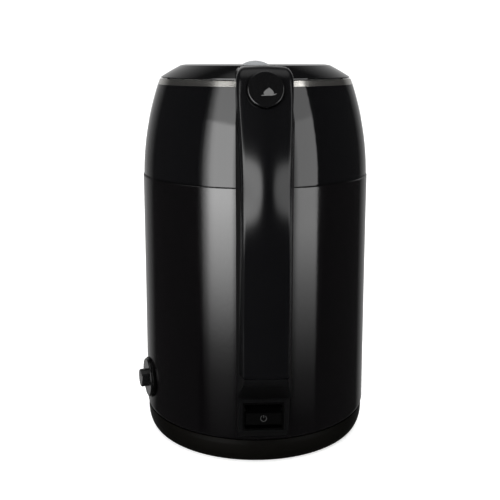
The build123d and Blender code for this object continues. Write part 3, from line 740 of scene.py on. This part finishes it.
def make_floor():
    """White floor that glows a little and does not show in reflections."""
    mesh = bpy.data.meshes.new("floor")
    half = FLOOR_HALF
    corners = [(-half, -half), (half, -half), (half, half), (-half, half)]
    mesh.from_pydata([(x, y, FLOOR_Z) for x, y in corners], [], [(0, 1, 2, 3)])
    floor = bpy.data.objects.new("floor", mesh)
    scene.collection.objects.link(floor)
    m = Material("floor_white", (0.9, 0.9, 0.9), 0.6, specular=0.2)
    m.blend(m.spread(m.noise(3.0), 0, 1), (0.88, 0.88, 0.88), (0.9, 0.9, 0.9))
    m.set("Emission Color", (1, 1, 1, 1))
    m.set("Emission Strength", FLOOR_GLOW)
    mesh.materials.append(m.material)
    floor.visible_glossy = False


def make_softbox(name, columns, levels):
    """Upright glowing panel bent round the kettle.

    Columns are (azimuth in degrees from +X towards +Y, share of the glow); levels are
    (height, radiance) from the bottom up. The glow runs smoothly between them.
    """
    points = []
    glow = []
    for height, radiance in levels:
        for azimuth, share in columns:
            angle = math.radians(azimuth)
            x = PANEL_DISTANCE * math.cos(angle)
            points.append((x, PANEL_DISTANCE * math.sin(angle), height))
            glow.append(radiance * share)
    faces = []
    for row in range(len(levels) - 1):
        for column in range(len(columns) - 1):
            corner = row * len(columns) + column
            above = corner + len(columns)
            faces.append((corner, corner + 1, above + 1, above))
    mesh = bpy.data.meshes.new(name)
    mesh.from_pydata(points, [], faces)
    mesh.attributes.new("glow", "FLOAT", "POINT").data.foreach_set("value", glow)
    material = bpy.data.materials.new(name)
    material.use_nodes = True
    tree = material.node_tree
    tree.nodes.clear()
    reader = tree.nodes.new("ShaderNodeAttribute")
    reader.attribute_name = "glow"
    emission = tree.nodes.new("ShaderNodeEmission")
    output = tree.nodes.new("ShaderNodeOutputMaterial")
    tree.links.new(reader.outputs["Fac"], emission.inputs["Strength"])
    tree.links.new(emission.outputs[0], output.inputs["Surface"])
    mesh.materials.append(material)
    panel = bpy.data.objects.new(name, mesh)
    scene.collection.objects.link(panel)
    panel.visible_camera = False


def make_world():
    """White room for the camera and the floor, and a darker one for reflections.

    In reflections the walls are dim, with a low white backdrop on the spout's side and a glow
    overhead.
    """
    world = bpy.data.worlds.new("studio")
    scene.world = world
    world.use_nodes = True
    tree = world.node_tree
    tree.nodes.clear()
    output = tree.nodes.new("ShaderNodeOutputWorld")
    room = tree.nodes.new("ShaderNodeBackground")
    room.inputs["Color"].default_value = (1, 1, 1, 1)
    room.inputs["Strength"].default_value = ROOM_GLOW
    mirrored = tree.nodes.new("ShaderNodeBackground")
    mix = tree.nodes.new("ShaderNodeMixShader")
    path = tree.nodes.new("ShaderNodeLightPath")
    coords = tree.nodes.new("ShaderNodeTexCoord")
    split = tree.nodes.new("ShaderNodeSeparateXYZ")
    tree.links.new(coords.outputs["Generated"], split.inputs["Vector"])
    behind = ramp(tree, split.outputs["X"], -0.62, -0.97, 0.0, 1.0)
    below_top = ramp(tree, split.outputs["Z"], 0.95, 0.8, 0.0, 1.0)
    above_floor = ramp(tree, split.outputs["Z"], -0.62, -0.42, 0.0, 1.0)
    backdrop = behind
    for band in (below_top, above_floor):
        multiply = tree.nodes.new("ShaderNodeMath")
        multiply.operation = "MULTIPLY"
        tree.links.new(backdrop, multiply.inputs[0])
        tree.links.new(band, multiply.inputs[1])
        backdrop = multiply.outputs[0]
    overhead = ramp(tree, split.outputs["Z"], 0.82, 0.97, WALL_GLOW, CEILING_GLOW)
    total = tree.nodes.new("ShaderNodeMath")
    total.operation = "ADD"
    tree.links.new(ramp(tree, backdrop, 0.0, 1.0, 0.0, BACKDROP_GLOW), total.inputs[0])
    tree.links.new(overhead, total.inputs[1])
    tree.links.new(total.outputs[0], mirrored.inputs["Strength"])
    tree.links.new(path.outputs["Is Glossy Ray"], mix.inputs["Fac"])
    tree.links.new(room.outputs[0], mix.inputs[1])
    tree.links.new(mirrored.outputs[0], mix.inputs[2])
    tree.links.new(mix.outputs[0], output.inputs["Surface"])


def make_lights():
    """One softbox on each side of the handle, fading out downwards and dimmer near its top."""
    left_columns = [
        (-60.0, 0.0),
        (-56.0, 0.05),
        (-50.5, 0.45),
        (-46.0, 0.9),
        (-42.5, 1.0),
        (-25.0, 1.0),
        (-17.0, 0.0),
    ]
    left_levels = [
        (-0.40, 0.05),
        (-0.36, 0.08),
        (-0.29, 0.18),
        (-0.23, 0.5),
        (-0.176, 1.45),
        (-0.12, 2.75),
        (-0.065, 4.1),
        (0.0, 5.5),
        (0.03, 6.4),
        (0.53, 6.4),
        (0.56, 3.6),
        (0.96, 3.4),
    ]
    right_columns = [(31.0, 0.0), (39.0, 1.0), (48.7, 1.0), (58.4, 1.0), (60.0, 0.0)]
    right_levels = [
        (-0.36, 0.06),
        (-0.29, 0.145),
        (-0.23, 0.38),
        (-0.176, 0.76),
        (-0.12, 1.3),
        (-0.065, 2.05),
        (-0.01, 2.8),
        (0.018, 2.6),
        (0.1, 3.0),
        (0.53, 3.0),
        (0.56, 2.3),
        (0.96, 2.2),
    ]
    make_softbox("left_softbox", left_columns, left_levels)
    make_softbox("right_softbox", right_columns, right_levels)


# ---- build ------------------------------------------------------------------------------------
make_camera()
materials = make_materials()
dress_nodes(materials)
cover_gloss = gloss_plastic("cover_gloss", (0.0017, 0.0017, 0.0021), 0.2, specular=0.34)
make_handle_cover(cover_gloss)
make_button_icon(materials["print_grey"])
make_lever_icon(materials["print_dark"])
make_dial_marks(materials["print_grey"])
for node in ("switch_bezel", "dial_escutcheon"):
    nodes[node].data.materials[0] = materials["lever_black"]
soften("handle_grip", 0.0008)
soften("switch_bezel", 0.0004)
make_floor()
make_world()
make_lights()
scene.view_settings.view_transform = "Standard"
